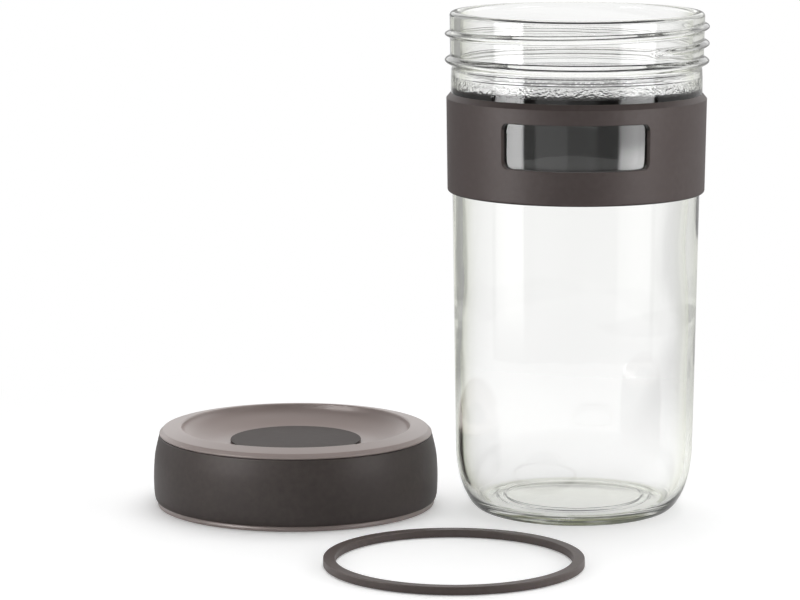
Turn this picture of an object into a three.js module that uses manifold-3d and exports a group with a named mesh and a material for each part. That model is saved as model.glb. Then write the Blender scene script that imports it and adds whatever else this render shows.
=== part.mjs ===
// A sourdough starter jar, standing open on a counter: a straight-walled glass jar with a screw
// thread and a silicone marker band round it, its domed-edge screw lid taken off and set down
// beside it, and the lid's flat sealing ring lying in front of the two.
// Lengths are in millimetres, +Z is up, and the counter is at height zero. +Y points away from
// someone who looks at the jar from the front, and +X to their right. The origin is on the
// counter, in the middle of the ground that the whole set covers.
import * as THREE from 'three';
import { mergeVertices } from 'three/addons/utils/BufferGeometryUtils.js';
import Module from 'manifold-3d';

const wasm = await Module();
wasm.setup();

// Shared values: how finely round things are cut, the gap between two pieces that touch on the
// real object, and how far a cutter reaches past the face that it opens.
const segments = 60;
const arcSteps = 5;
const seam = 0.3;
const overrun = 3;

// Closure: a 100 mm wide-mouth screw finish, right-handed with one start. Its widths are measured
// inwards from the thread's outside, and each drop is how far below the rim a feature lies.
const threadRadius = 50;
const threadDepth = 1.8;
const threadPitch = 6.35;
const threadWidth = 4.1;
const threadStartDrop = 12.7;
const threadStartTurn = 30 / 360;
const threadTurns = 446 / 360;
const beadDrop = 18.2;
const beadWidth = 3;
const finishTaper = 0.4;
const finishFootDrop = 21.4;

// Glass jar: below the finish the wall steps in and then leans in a little down to the heel. The
// finish is thick, the blown wall gets thin towards the heel, and the base is thick again. Every
// other part is fitted to it.
const jarHeight = 190.8;
const neckStep = 0.35;
const neckDrop = 24.8;
const wallLean = 2.05;
const heelHeight = 26;
const heelReach = 11.2;
const footWidth = 2.8;
const pushUpRise = 3;
const finishThickness = 4.2;
const neckThickness = 3.4;
const waistHeight = 105;
const waistThickness = 3.8;
const thinHeight = 68;
const heelThickness = 2.4;
const baseThickness = 3.6;
const rimLand = 0.6;

// Marker band: moulded in soft silicone, with a window that shows the dough's level.
const bandDrop = 5.7;
const bandHeight = 37.6;
const bandThickness = 1.65;
const bandChamfer = 2.1;
const bandCorner = 1.5;
const windowWidth = 58.2;
const windowHeight = 16.7;
const windowCorner = 2.6;
const windowSill = 13.1;
const windowTurn = -3.1 / 360;

// Sealing ring: a flat silicone ring with small broken edges, which lies in the lid's groove and
// presses on the jar's rim.
const sealSetback = 1;
const sealWidth = 4.25;
const sealHeight = 2.85;
const sealEdge = 0.3;
const sealPlay = 0.4;

// Lid shell: moulded in polypropylene, open underneath, with a dished top. Its skirt goes over the
// thread, and each drop is how far below the lid's top a feature lies.
const lidHeight = 30.35;
const threadClearance = 0.5;
const lidSkirtThickness = 1.4;
const lidFlangeProud = 0.7;
const lidFootProud = 1.6;
const lidFootFlange = 1.9;
const lidThreadWidth = 3.2;
const lidThreadTurns = 1.3;
const leadIn = 0.6;
const lidEdgeDrop = 2.45;
const lidEdgeThickness = 0.5;
const lidChamfer = 1.3;
const shoulderWidth = 8.5;
const dishReach = 13.1;
const dishDepth = 6.4;
const dishLip = 0.6;
const lidWall = 1.8;
const lidRoofDrop = 3.55;
const sealSeatDrop = 5.35;
const plugDepth = 4;
const plugThickness = 1.8;
const sealLipDepth = 1.6;
const sealLipThickness = 1.2;

// Grip sleeve: a silicone barrel moulded round the lid's skirt.
const sleeveTopThickness = 0.8;
const sleeveThickness = 3;

// Vent cap: a silicone mushroom whose stem is pulled through the middle of the lid.
const capMargin = 5.8;
const capThickness = 0.8;
const capCrown = 0.25;
const stemRadius = 2.3;
const bulbRadius = 4.2;
const bulbLength = 3.2;
const bulbTipRadius = 1.4;
const capTravel = 1;
const ventCount = 6;
const ventRadius = 1.5;
const ventCircleRadius = 12;

// Where the lid and the ring stand: in which direction from the jar's axis, in degrees
// anticlockwise from the right, and how far clear of the jar's widest part.
const lidBearing = 175.35;
const lidGap = 2.55;
const ringBearing = 243.84;
const ringGap = 10.54;

// Sizes that follow from these, from the thread inwards and down, and outwards for the lid.
const finishRadius = threadRadius - threadDepth;
const finishFootRadius = finishRadius - finishTaper;
const neckRadius = finishFootRadius - neckStep;
const heelTopRadius = neckRadius - wallLean;
const neckHeight = jarHeight - neckDrop;
const bandTopHeight = neckHeight - bandDrop;
const bandBottomHeight = bandTopHeight - bandHeight;
const sealOuterRadius = finishRadius - sealSetback;
const sealInnerRadius = sealOuterRadius - sealWidth;
const skirtInnerRadius = threadRadius + threadClearance;
const skirtRadius = skirtInnerRadius + lidSkirtThickness;
const lidFlangeRadius = skirtRadius + lidFlangeProud;
const lidFootRadius = skirtRadius + lidFootProud;
const lidEdgeHeight = lidHeight - lidEdgeDrop;
const sleeveRoom = lidEdgeHeight - lidEdgeThickness - lidFootFlange;
const sleeveRadius = skirtRadius + sleeveThickness;
const sealSeatHeight = lidHeight - sealSeatDrop;
const dishRadius = lidFlangeRadius - shoulderWidth;
const dishFloorRadius = dishRadius - dishReach;
const dishFloorHeight = lidHeight - dishDepth;
const dishUnderside = dishFloorHeight - lidWall;
const capRadius = dishFloorRadius - capMargin;
const stemHoleRadius = stemRadius + seam;

// The places of the lid and the ring from the jar's axis, and of the jar from the origin, which is
// in the middle of the ground that the set covers.
function standingAt(bearing, distance) {
  const angle = THREE.MathUtils.degToRad(bearing);
  return new THREE.Vector2(distance * Math.cos(angle), distance * Math.sin(angle));
}
const lidOffset = standingAt(lidBearing, threadRadius + lidGap + sleeveRadius);
const ringOffset = standingAt(ringBearing, threadRadius + ringGap + sealOuterRadius);
const leftEdge = lidOffset.x - sleeveRadius;
const rightEdge = threadRadius;
const frontEdge = ringOffset.y - sealOuterRadius;
const backEdge = lidOffset.y + sleeveRadius;
const jarPlace = new THREE.Vector2(-(leftEdge + rightEdge) / 2, -(frontEdge + backEdge) / 2);

// Looks, as seen under soft white light.
const glass = new THREE.MeshStandardMaterial({
  color: '#e6ece4', roughness: 0.05, metalness: 0, transparent: true, opacity: 0.35,
});
const darkSilicone = new THREE.MeshStandardMaterial({ color: '#4d4644', roughness: 0.6, metalness: 0 });
const ringSilicone = new THREE.MeshStandardMaterial({ color: '#574f4c', roughness: 0.6, metalness: 0 });
const capSilicone = new THREE.MeshStandardMaterial({ color: '#5f5956', roughness: 0.55, metalness: 0 });
const taupePlastic = new THREE.MeshStandardMaterial({ color: '#9d918d', roughness: 0.4, metalness: 0 });

// Outlines are lists of points, each a radius and a height, in the order that keeps the solid on
// their left. This gives the points of an elliptical arc between two angles in degrees.
function arc(centreRadius, centreHeight, reach, rise, from, to, steps = arcSteps) {
  const curve = new THREE.EllipseCurve(
    centreRadius, centreHeight, reach, rise,
    THREE.MathUtils.degToRad(from), THREE.MathUtils.degToRad(to), to < from,
  );
  return curve.getPoints(steps);
}

function at(radius, height) {
  return new THREE.Vector2(radius, height);
}

// Turns an outline into a round body whose axis is Z.
function revolve(outline) {
  return new THREE.LatheGeometry(outline, segments).rotateX(Math.PI / 2);
}

function closed(outline) {
  return [...outline, outline[0].clone()];
}

function solidOf(geometry) {
  const bare = geometry.clone();
  bare.deleteAttribute('normal');
  bare.deleteAttribute('uv');
  const merged = mergeVertices(bare);
  const corners = merged.index.array;
  const faces = [];
  for (let first = 0; first < corners.length; first += 3) {
    const [a, b, c] = corners.slice(first, first + 3);
    // A lathe's pole has faces with no area, which a solid leaves out.
    if (a !== b && b !== c && c !== a) faces.push(a, b, c);
  }
  return new wasm.Manifold(new wasm.Mesh({
    numProp: 3,
    vertProperties: new Float32Array(merged.attributes.position.array),
    triVerts: new Uint32Array(faces),
  }));
}

function geometryOf(solid) {
  const mesh = solid.getMesh();
  const geometry = new THREE.BufferGeometry();
  geometry.setAttribute('position', new THREE.BufferAttribute(mesh.vertProperties, 3));
  geometry.setIndex(new THREE.BufferAttribute(mesh.triVerts, 1));
  geometry.computeVertexNormals();
  return geometry;
}

function piece(name, solid, material) {
  const mesh = new THREE.Mesh(geometryOf(solid), material);
  mesh.name = name;
  return mesh;
}

// A solid carried round the axis from one station to the next. Each station is a turn, counted
// from the front and to the right, and a section of points that goes round anticlockwise with
// the radius to the right and the height up.
function sweepRound(stations) {
  const points = [];
  for (const { turn, section } of stations) {
    const angle = turn * 2 * Math.PI;
    for (const { x, y } of section) points.push(x * Math.sin(angle), -x * Math.cos(angle), y);
  }
  const size = stations[0].section.length;
  const faces = [];
  for (let station = 0; station + 1 < stations.length; station += 1) {
    for (let corner = 0; corner < size; corner += 1) {
      const a = station * size + corner;
      const d = station * size + (corner + 1) % size;
      const b = a + size;
      const c = d + size;
      faces.push(a, b, c, a, c, d);
    }
  }
  const last = (stations.length - 1) * size;
  for (let corner = 1; corner + 1 < size; corner += 1) {
    faces.push(0, corner, corner + 1);
    faces.push(last, last + corner + 1, last + corner);
  }
  const geometry = new THREE.BufferGeometry();
  geometry.setAttribute('position', new THREE.Float32BufferAttribute(points, 3));
  geometry.setIndex(faces);
  return geometry;
}

// A thread ridge: half a wave high, it climbs a helix, and it rises out of the wall at its start
// and sinks back at its end. The bed is where its back lies, inside the wall that carries it.
function threadRidge({ bed, crest, width, startHeight, startTurn, turns }) {
  const fadeTurns = 0.07;
  const sunkShare = 0.1;
  const waveSteps = 6;
  const steps = Math.ceil(turns * segments);
  const stations = [];
  for (let step = 0; step <= steps; step += 1) {
    const gone = turns * step / steps;
    const fade = Math.min(gone, turns - gone, fadeTurns) / fadeTurns;
    const lift = (crest - bed) * (sunkShare + (1 - sunkShare) * Math.sin(fade * Math.PI / 2));
    const section = [];
    for (let wave = 0; wave <= waveSteps; wave += 1) {
      const across = 2 * wave / waveSteps - 1;
      const radius = bed + lift * Math.cos(across * Math.PI / 2);
      section.push(at(radius, startHeight + gone * threadPitch + across * width / 2));
    }
    if (crest < bed) section.reverse();
    stations.push({ turn: startTurn + gone, section });
  }
  return sweepRound(stations);
}

// Radius of the glass wall's outside at a height between the heel and the neck.
function wallRadius(height) {
  return THREE.MathUtils.mapLinear(height, heelHeight, neckHeight, heelTopRadius, neckRadius);
}

// Glass jar: a pushed-up base with a flat foot ring, a rounded heel, a leaning wall, and the
// screw finish with its transfer bead below the thread and a rim that is flat on top. Inside, the
// heel's round keeps the outer one's centre, and the floor rises as the base does.
function glassJar() {
  const footOuterRadius = heelTopRadius - heelReach;
  const footInnerRadius = footOuterRadius - footWidth;
  const mouthRadius = finishRadius - finishThickness;
  const rimRound = (finishThickness - rimLand) / 2;
  const beadSide = THREE.MathUtils.mapLinear(beadDrop, finishFootDrop, 0, finishFootRadius, finishRadius);
  const outline = [
    at(0, pushUpRise),
    ...arc(0, 0, footInnerRadius, pushUpRise, 60, 0, 3),
    ...arc(footOuterRadius, heelHeight, heelReach, heelHeight, -90, 0, 9),
    at(neckRadius, neckHeight),
    at(finishFootRadius, jarHeight - finishFootDrop),
    ...arc(beadSide, jarHeight - beadDrop, threadRadius - beadSide, beadWidth / 2, -75, 75, 5),
    ...arc(finishRadius - rimRound, jarHeight - rimRound, rimRound, rimRound, 0, 90, 3),
    ...arc(mouthRadius + rimRound, jarHeight - rimRound, rimRound, rimRound, 90, 180, 3),
    at(mouthRadius, jarHeight - finishFootDrop),
    at(neckRadius - neckThickness, neckHeight),
    at(wallRadius(waistHeight) - waistThickness, waistHeight),
    at(wallRadius(thinHeight) - heelThickness, thinHeight),
    ...arc(footOuterRadius, heelHeight, heelReach - heelThickness, heelHeight - baseThickness, 0, -90, 9),
    ...arc(0, baseThickness, footInnerRadius, pushUpRise, 0, 60, 3),
    at(0, baseThickness + pushUpRise),
  ];
  const ridge = threadRidge({
    bed: finishFootRadius - finishThickness / 2,
    crest: threadRadius,
    width: threadWidth,
    startHeight: jarHeight - threadStartDrop,
    startTurn: threadStartTurn,
    turns: threadTurns,
  });
  return piece('glass_jar', solidOf(revolve(outline)).add(solidOf(ridge)), glass);
}

// The band's window as a cutter that goes straight in towards the axis all along its width, with
// its four corners rounded.
function windowCutter(outerRadius, innerRadius, middleHeight) {
  const turnPerLength = 1 / (2 * Math.PI * outerRadius);
  const straight = windowWidth / 2 - windowCorner;
  const rise = windowHeight / 2 - windowCorner;
  const plainSteps = Math.ceil(2 * straight * turnPerLength * segments);
  const columns = arc(-straight, rise, windowCorner, windowCorner, 180, 90);
  for (let step = 1; step < plainSteps; step += 1) {
    columns.push(at(THREE.MathUtils.lerp(-straight, straight, step / plainSteps), windowHeight / 2));
  }
  columns.push(...arc(straight, rise, windowCorner, windowCorner, 90, 0));
  return sweepRound(columns.map(({ x, y }) => ({
    turn: windowTurn + x * turnPerLength,
    section: [
      at(innerRadius - overrun, middleHeight - y), at(outerRadius + overrun, middleHeight - y),
      at(outerRadius + overrun, middleHeight + y), at(innerRadius - overrun, middleHeight + y),
    ],
  })));
}

// Marker band: it follows the leaning wall inside, slopes off at its top and is rounded below.
function markerBand() {
  const innerTop = wallRadius(bandTopHeight) + seam;
  const innerBottom = wallRadius(bandBottomHeight) + seam;
  const outerTop = innerTop + bandThickness;
  const outerBottom = innerBottom + bandThickness;
  const outline = closed([
    at(innerBottom, bandBottomHeight),
    ...arc(outerBottom - bandCorner, bandBottomHeight + bandCorner, bandCorner, bandCorner, -90, 0, 3),
    at(outerTop, bandTopHeight - bandChamfer),
    at(innerTop, bandTopHeight),
  ]);
  const cutter = windowCutter(outerTop, innerBottom, bandBottomHeight + windowSill + windowHeight / 2);
  return piece('marker_band', solidOf(revolve(outline)).subtract(solidOf(cutter)), darkSilicone);
}

// Lid shell: foot flange, skirt with its inside thread, sloping shoulder, dished top with a stem
// hole and a circle of vent holes, and underneath the groove that holds the sealing ring. With the
// lid on, its thread lies half a pitch below the jar's.
function lidShell() {
  const sealWallInner = sealInnerRadius - sealPlay;
  const sealWallOuter = sealOuterRadius + sealPlay;
  const plugInner = sealWallInner - plugThickness;
  const underReach = dishReach + lidWall;
  const plugAngle = THREE.MathUtils.radToDeg(Math.acos((plugInner - dishFloorRadius) / underReach));
  const outline = closed([
    at(stemHoleRadius, dishUnderside),
    ...arc(dishFloorRadius, lidHeight, underReach, dishDepth + lidWall, -90, -plugAngle, 4),
    at(plugInner, sealSeatHeight - plugDepth),
    at(sealWallInner, sealSeatHeight - plugDepth),
    at(sealWallInner, sealSeatHeight),
    at(sealWallOuter, sealSeatHeight),
    at(sealWallOuter, sealSeatHeight - sealLipDepth),
    at(sealWallOuter + sealLipThickness, sealSeatHeight - sealLipDepth),
    at(sealWallOuter + sealLipThickness, lidHeight - lidRoofDrop),
    at(skirtInnerRadius, lidHeight - lidRoofDrop),
    at(skirtInnerRadius, leadIn),
    at(skirtInnerRadius + leadIn, 0),
    at(lidFootRadius, 0),
    at(lidFootRadius, lidFootFlange),
    at(skirtRadius, lidFootFlange),
    at(skirtRadius, lidFootFlange + sleeveRoom),
    at(lidFlangeRadius, lidFootFlange + sleeveRoom),
    at(lidFlangeRadius, lidEdgeHeight),
    at(lidFlangeRadius - lidChamfer, lidEdgeHeight + lidChamfer),
    at(dishRadius + dishLip, lidHeight),
    ...arc(dishFloorRadius, lidHeight, dishReach, dishDepth, 0, -90, 6),
    at(stemHoleRadius, dishFloorHeight),
  ]);
  const ridge = threadRidge({
    bed: skirtRadius - lidSkirtThickness / 2,
    crest: finishRadius + threadClearance,
    width: lidThreadWidth,
    startHeight: sealSeatHeight - sealHeight - threadStartDrop - threadPitch / 2,
    startTurn: threadStartTurn,
    turns: lidThreadTurns,
  });
  let shell = solidOf(revolve(outline)).add(solidOf(ridge));
  for (let vent = 0; vent < ventCount; vent += 1) {
    const place = standingAt(360 * vent / ventCount, ventCircleRadius);
    const drill = new THREE.CylinderGeometry(ventRadius, ventRadius, lidWall + 2 * overrun, segments / 5);
    drill.rotateX(Math.PI / 2);
    drill.translate(place.x, place.y, dishFloorHeight - lidWall / 2);
    shell = shell.subtract(solidOf(drill));
  }
  return piece('lid_shell', shell, taupePlastic);
}

// Grip sleeve: fullest below its middle and drawn in at both ends, where it meets the flanges.
function gripSleeve() {
  const foot = lidFootFlange + seam;
  const height = sleeveRoom - 2 * seam;
  const inner = skirtRadius + seam;
  const topRadius = skirtRadius + sleeveTopThickness;
  // Each pair is a share of the height and a share of the bulge.
  const barrelShares = [
    [0, 0.55], [0.03, 0.74], [0.1, 0.9], [0.2, 0.97], [0.35, 1], [0.52, 0.94], [0.7, 0.76], [0.85, 0.42],
    [1, 0],
  ];
  const barrel = new THREE.SplineCurve(barrelShares.map(
    ([up, out]) => at(THREE.MathUtils.lerp(topRadius, sleeveRadius, out), foot + height * up),
  ));
  const outline = closed([at(inner, foot), ...barrel.getPoints(11), at(inner, foot + height)]);
  return piece('lid_grip_sleeve', solidOf(revolve(outline)), darkSilicone);
}

// Vent cap: a disc that lies over the vent holes, with a stem and a bulb that keeps it in place
// but lets it lift by its travel.
function ventCap() {
  const underside = dishFloorHeight + seam;
  const bulbTop = dishUnderside - capTravel - seam;
  const tip = bulbTop - bulbLength;
  const edge = capThickness / 2;
  const outline = [
    at(0, tip),
    at(bulbTipRadius, tip),
    at(bulbRadius, bulbTop - seam),
    at(bulbRadius, bulbTop),
    at(stemRadius, bulbTop),
    at(stemRadius, underside),
    ...arc(capRadius - edge, underside + edge, edge, edge, -90, 90, 4),
    at(capRadius / 2, underside + capThickness + capCrown * 3 / 4),
    at(0, underside + capThickness + capCrown),
  ];
  return piece('vent_cap', solidOf(revolve(outline)), capSilicone);
}

function sealingRing() {
  const outline = closed([
    at(sealInnerRadius + sealEdge, 0), at(sealOuterRadius - sealEdge, 0),
    at(sealOuterRadius, sealEdge), at(sealOuterRadius, sealHeight - sealEdge),
    at(sealOuterRadius - sealEdge, sealHeight), at(sealInnerRadius + sealEdge, sealHeight),
    at(sealInnerRadius, sealHeight - sealEdge), at(sealInnerRadius, sealEdge),
  ]);
  return piece('sealing_ring', solidOf(revolve(outline)), ringSilicone);
}

// The set: each group stands on the counter at its own place.
function standing(place, ...pieces) {
  const group = new THREE.Group();
  group.position.set(place.x, place.y, 0);
  group.add(...pieces);
  return group;
}

const starterJar = new THREE.Group();
starterJar.add(
  standing(jarPlace, glassJar(), markerBand()),
  standing(jarPlace.clone().add(lidOffset), lidShell(), gripSleeve(), ventCap()),
  standing(jarPlace.clone().add(ringOffset), sealingRing()),
);

export default starterJar;
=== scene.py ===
# %% [markdown]
# # A sourdough starter jar
#
# The object is a straight-walled glass jar with a screw neck, a silicone band round it that marks
# the dough's level, a screw lid set down beside it, and the lid's flat sealing ring lying in front.
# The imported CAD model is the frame: it gives every piece its place and outer size, in metres. Over
# it this lesson lays finer surfaces, one material for each real material, and a small photo studio.

# %% Open the frame
import math

import bmesh
import bpy
import numpy as np
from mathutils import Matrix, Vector


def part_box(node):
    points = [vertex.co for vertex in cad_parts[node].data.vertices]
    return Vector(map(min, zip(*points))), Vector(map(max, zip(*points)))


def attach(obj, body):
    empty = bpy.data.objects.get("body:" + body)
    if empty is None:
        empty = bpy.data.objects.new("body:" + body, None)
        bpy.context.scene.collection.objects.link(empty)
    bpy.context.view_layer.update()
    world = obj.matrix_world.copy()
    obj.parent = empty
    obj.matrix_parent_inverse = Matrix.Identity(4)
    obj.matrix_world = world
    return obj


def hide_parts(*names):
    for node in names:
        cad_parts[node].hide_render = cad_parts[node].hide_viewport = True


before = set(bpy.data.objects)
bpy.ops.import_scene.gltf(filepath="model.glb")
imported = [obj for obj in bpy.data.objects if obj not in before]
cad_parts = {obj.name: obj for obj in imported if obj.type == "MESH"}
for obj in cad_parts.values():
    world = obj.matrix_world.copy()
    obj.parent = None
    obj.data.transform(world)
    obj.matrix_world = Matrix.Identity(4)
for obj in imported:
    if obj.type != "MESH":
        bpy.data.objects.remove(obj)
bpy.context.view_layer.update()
MM = 0.001

# %% [markdown]
# ## Where things stand
#
# The jar, the lid and the ring are all round, so the middle of each one's box is its axis. Every
# surface below is worked out round an axis through zero, and its place is added at the end. The
# places could be typed in, but read off the frame they follow it when a size of the model changes.

# %% Find the three axes


def axis_of(node):
    """The point on the counter under the middle of a round CAD node."""
    low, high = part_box(node)
    return np.array([(low.x + high.x) / 2, (low.y + high.y) / 2, 0.0])


def span_of(node):
    """Radius, lowest height and highest height of a round CAD node."""
    low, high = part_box(node)
    return (high.x - low.x) / 2, low.z, high.z


jar_place, lid_place, ring_place = (axis_of(n) for n in ("glass_jar", "lid_grip_sleeve", "sealing_ring"))
thread_radius, _, jar_height = span_of("glass_jar")
print("jar at", jar_place.round(4), "height", round(jar_height, 4))

# %% [markdown]
# ## The camera
#
# The photograph was taken with a long lens from about 1.35 m away, a little above the object and
# slightly to the left of the jar. The lens is long, so upright edges stay upright. A camera could be
# placed by eye. This one was fitted to the round edges in the photograph, which is surer, and its
# place is counted from the jar's axis.

# %% Make the camera
CAMERA_FROM_JAR = Vector((-66.8, -1352.6, 296.3)) * MM
CAMERA_PITCH = math.radians(9.064)
LENS_PIXELS = 3586.2
PHOTO_WIDTH = 800

camera_data = bpy.data.cameras.new("camera")
camera_data.sensor_fit = "HORIZONTAL"
camera_data.sensor_width = 36
camera_data.lens = LENS_PIXELS * camera_data.sensor_width / PHOTO_WIDTH
camera = bpy.data.objects.new("camera", camera_data)
camera.location = Vector(jar_place) + CAMERA_FROM_JAR
camera.rotation_euler = (math.pi / 2 - CAMERA_PITCH, 0, 0)
bpy.context.collection.objects.link(camera)
bpy.context.scene.camera = camera
print("lens", round(camera_data.lens, 1), "mm")

# %% [markdown]
# ## Surfaces from outlines
#
# Almost everything here is a solid of revolution: an outline in radius and height, carried round an
# axis. Moulded edges are never knife-sharp, so an outline is written as corners that each have a
# rounding. A point a little way past each rounding keeps the flat side beside it flat when the
# surface is shaded smooth.

# %% Round the corners of an outline


def corner_arc(before, corner, after, rounding, steps=5, hold=0.35 * MM):
    """Points that replace one corner. The arc touches both sides at the distance rounding / tan of
    half the corner's angle, and its centre lies on the line that halves the angle."""
    a, b = before - corner, after - corner
    la, lb = np.linalg.norm(a), np.linalg.norm(b)
    a, b = a / la, b / lb
    angle = math.acos(np.clip(a @ b, -1, 1))
    if rounding == 0 or math.pi - angle < 1e-3:
        return [corner]
    reach = min(rounding / math.tan(angle / 2), 0.45 * la, 0.45 * lb)
    rounding = reach * math.tan(angle / 2)
    half = (a + b) / np.linalg.norm(a + b)
    centre = corner + half * rounding / math.sin(angle / 2)
    start, end = corner + a * reach - centre, corner + b * reach - centre
    turn = math.atan2(start[0] * end[1] - start[1] * end[0], start @ end)
    angles = np.linspace(0, turn, steps)
    cos, sin = np.cos(angles), np.sin(angles)
    arc = centre + np.stack([start[0] * cos - start[1] * sin, start[0] * sin + start[1] * cos], axis=1)
    first = corner + a * (reach + min(hold, 0.3 * (la - reach)))
    last = corner + b * (reach + min(hold, 0.3 * (lb - reach)))
    return [first, *arc, last]


def rounded(corners, closed=True):
    """An outline from corners of (radius, height, rounding), all in millimetres. A closed outline
    rounds every corner, an open one leaves its two ends as they are."""
    corners = np.array(corners, float) * MM
    points = []
    for i, (radius, height, rounding) in enumerate(corners):
        corner = np.array([radius, height])
        if not closed and i in (0, len(corners) - 1):
            points.append(corner)
            continue
        before, after = corners[i - 1, :2], corners[(i + 1) % len(corners), :2]
        points += corner_arc(before, corner, after, rounding)
    return np.array(points)


def smooth_curve(knots, steps):
    """A curve through the knots: each stretch is the cubic whose slopes at its ends follow the
    neighbouring knots (Catmull and Rom's rule)."""
    padded = np.concatenate([2 * knots[:1] - knots[1:2], knots, 2 * knots[-1:] - knots[-2:-1]])
    t = np.linspace(0, 1, steps, endpoint=False)[:, None]
    pieces = []
    for a, b, c, d in zip(padded, padded[1:], padded[2:], padded[3:]):
        pieces.append(0.5 * (2 * b + (c - a) * t + (2 * a - 5 * b + 4 * c - d) * t ** 2
                             + (3 * b - a - 3 * c + d) * t ** 3))
    return np.concatenate(pieces + [knots[-1:]])


def arc(radius, height, reach, rise, start, end, steps=12):
    """Points of an elliptical arc round (radius, height) between two angles in degrees: the radius
    plus reach times the cosine, and the height plus rise times the sine. All in millimetres."""
    angle = np.radians(np.linspace(start, end, steps))
    return np.stack([radius + reach * np.cos(angle), height + rise * np.sin(angle)], axis=1) * MM


square = [(0, 0, 1), (9, 0, 1), (9, 9, 1), (0, 9, 1)]
print("a square with four rounded corners has", len(rounded(square)), "points")

# %% [markdown]
# A grid of points becomes a mesh once its neighbours are joined in fours. The functions below do
# that for whole arrays at once. A row whose radius is zero is a pole: there all its points are the
# same, so merging them closes the surface.

# %% Turn grids into meshes


def quads(rows, columns, wrap_rows=False, wrap_columns=False, first=0):
    """Corner numbers of the faces that join each grid point to its neighbours to the right and
    above, counted row by row from first."""
    r = np.arange(rows if wrap_rows else rows - 1)
    c = np.arange(columns if wrap_columns else columns - 1)
    r, c = np.meshgrid(r, c, indexing="ij")
    here, above, right = r * columns, (r + 1) % rows * columns, (c + 1) % columns
    corners = np.stack([here + c, here + right, above + right, above + c], axis=-1)
    return corners.reshape(-1, 4) + first


def mesh_object(name, points, faces, merge=1e-7):
    """A smooth-shaded object from arrays of points and of four-cornered faces. Points that lie on
    each other are merged, which also closes seams and poles."""
    mesh = bpy.data.meshes.new(name)
    mesh.from_pydata(points.reshape(-1, 3).tolist(), [], faces.tolist())
    work = bmesh.new()
    work.from_mesh(mesh)
    bmesh.ops.remove_doubles(work, verts=work.verts, dist=merge)
    work.to_mesh(mesh)
    work.free()
    mesh.shade_smooth()
    made = bpy.data.objects.new(name, mesh)
    bpy.context.collection.objects.link(made)
    print(f"{name}: {len(mesh.vertices)} points, {len(mesh.polygons)} faces")
    return made


def revolved(name, outline, place, columns=256, closed=True, ripple=None):
    """The outline carried round the axis: at each turn the point is radius * sine, -radius * cosine
    and height, so turn 0 faces the camera and turns count to the right. ripple may return an extra
    radius for grids of turn, radius and height."""
    turn = np.linspace(0, 2 * math.pi, columns, endpoint=False)
    radius, height = outline[:, :1], outline[:, 1:]
    if ripple is not None:
        radius = np.maximum(radius + ripple(turn[None], radius, height), 0)
    radius = radius * np.ones_like(turn)
    grid = np.stack([radius * np.sin(turn), -radius * np.cos(turn), height + 0 * radius], axis=-1)
    return mesh_object(name, grid + place, quads(len(outline), columns, closed, True))


print("a grid of 3 by 4 points has", len(quads(3, 4)), "faces")

# %% [markdown]
# ## Colours and materials
#
# A colour is written as the hex value that a photo editor shows, and one function turns it into the
# linear light that the shaders add up. Another small function adds a node, with its settings, its
# values and its links, so that a material reads as a list of what goes into what. The names before
# it are only short forms of Blender's own words for the nodes and sums that are used most.

# %% Colour and node helpers
MATH, VECTOR, STEP = "ShaderNodeMath", "ShaderNodeVectorMath", "ShaderNodeMapRange"
NOISE, BUMP, MIX, RAMP = "ShaderNodeTexNoise", "ShaderNodeBump", "ShaderNodeMixRGB", "ShaderNodeValToRGB"
PLUS, MINUS, TIMES = {"operation": "ADD"}, {"operation": "SUBTRACT"}, {"operation": "MULTIPLY"}
LARGER, SMALLER = {"operation": "MAXIMUM"}, {"operation": "MINIMUM"}
TIMES_PLUS = {"operation": "MULTIPLY_ADD"}
SOFT = {"interpolation_type": "SMOOTHSTEP"}
WHITE = (1, 1, 1, 1)


def colour(hex_value):
    """Linear red, green, blue and alpha of an sRGB hex colour: a channel up to 0.04045 is divided
    by 12.92, and a brighter one has 0.055 added, is divided by 1.055 and raised to the power 2.4."""
    srgb = np.array([int(hex_value[i:i + 2], 16) / 255 for i in (1, 3, 5)])
    linear = np.where(srgb <= 0.04045, srgb / 12.92, ((srgb + 0.055) / 1.055) ** 2.4)
    return (*linear.tolist(), 1.0)


def add(tree, kind, settings=None, *values, stops=(), **named):
    """Adds one node. Settings are its own properties, and stops are a colour ramp's places and greys.
    Its sockets get their values in order or by name, where an underscore stands for a space. A
    value is a number, a colour, an output to link, or a node whose first output is linked."""
    node = tree.nodes.new(kind)
    for key, value in (settings or {}).items():
        setattr(node, key, value)
    by_name = ((node.inputs[key.replace("_", " ")], value) for key, value in named.items())
    for socket, value in [*zip(node.inputs, values), *by_name]:
        if isinstance(value, bpy.types.Node):
            value = value.outputs[0]
        if isinstance(value, bpy.types.NodeSocket):
            tree.links.new(value, socket)
        else:
            socket.default_value = value
    for _ in stops[2:]:
        node.color_ramp.elements.new(0.5)
    for i, (place, grey) in enumerate(stops):
        node.color_ramp.elements[i].position = place
        node.color_ramp.elements[i].color = (grey, grey, grey, 1)
    return node


def material(name, **surface):
    """A new material with a Principled shader whose own sockets are set. Returns the material, its
    tree, the shader, the surface point in metres and the output node."""
    made = bpy.data.materials.new(name)
    made.use_nodes = True
    tree = made.node_tree
    tree.nodes.clear()
    shader = add(tree, "ShaderNodeBsdfPrincipled", **surface)
    output = add(tree, "ShaderNodeOutputMaterial", Surface=shader)
    point = add(tree, "ShaderNodeTexCoord").outputs["Object"]
    return made, tree, shader, point, output


print("half way up the sRGB scale is", round(colour("#808080")[0], 3), "in linear light")

# %% [markdown]
# ### Soda-lime glass, pressed and blown
#
# Jar glass is soda-lime, with an index near 1.52. It is clear, but iron in the sand gives it a
# yellow-green cast that only shows where light crosses a lot of it. A tinted surface would colour
# thin and thick glass alike, so the tint goes in the volume, and the surface has a little of it
# where it is seen edge on.

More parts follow.
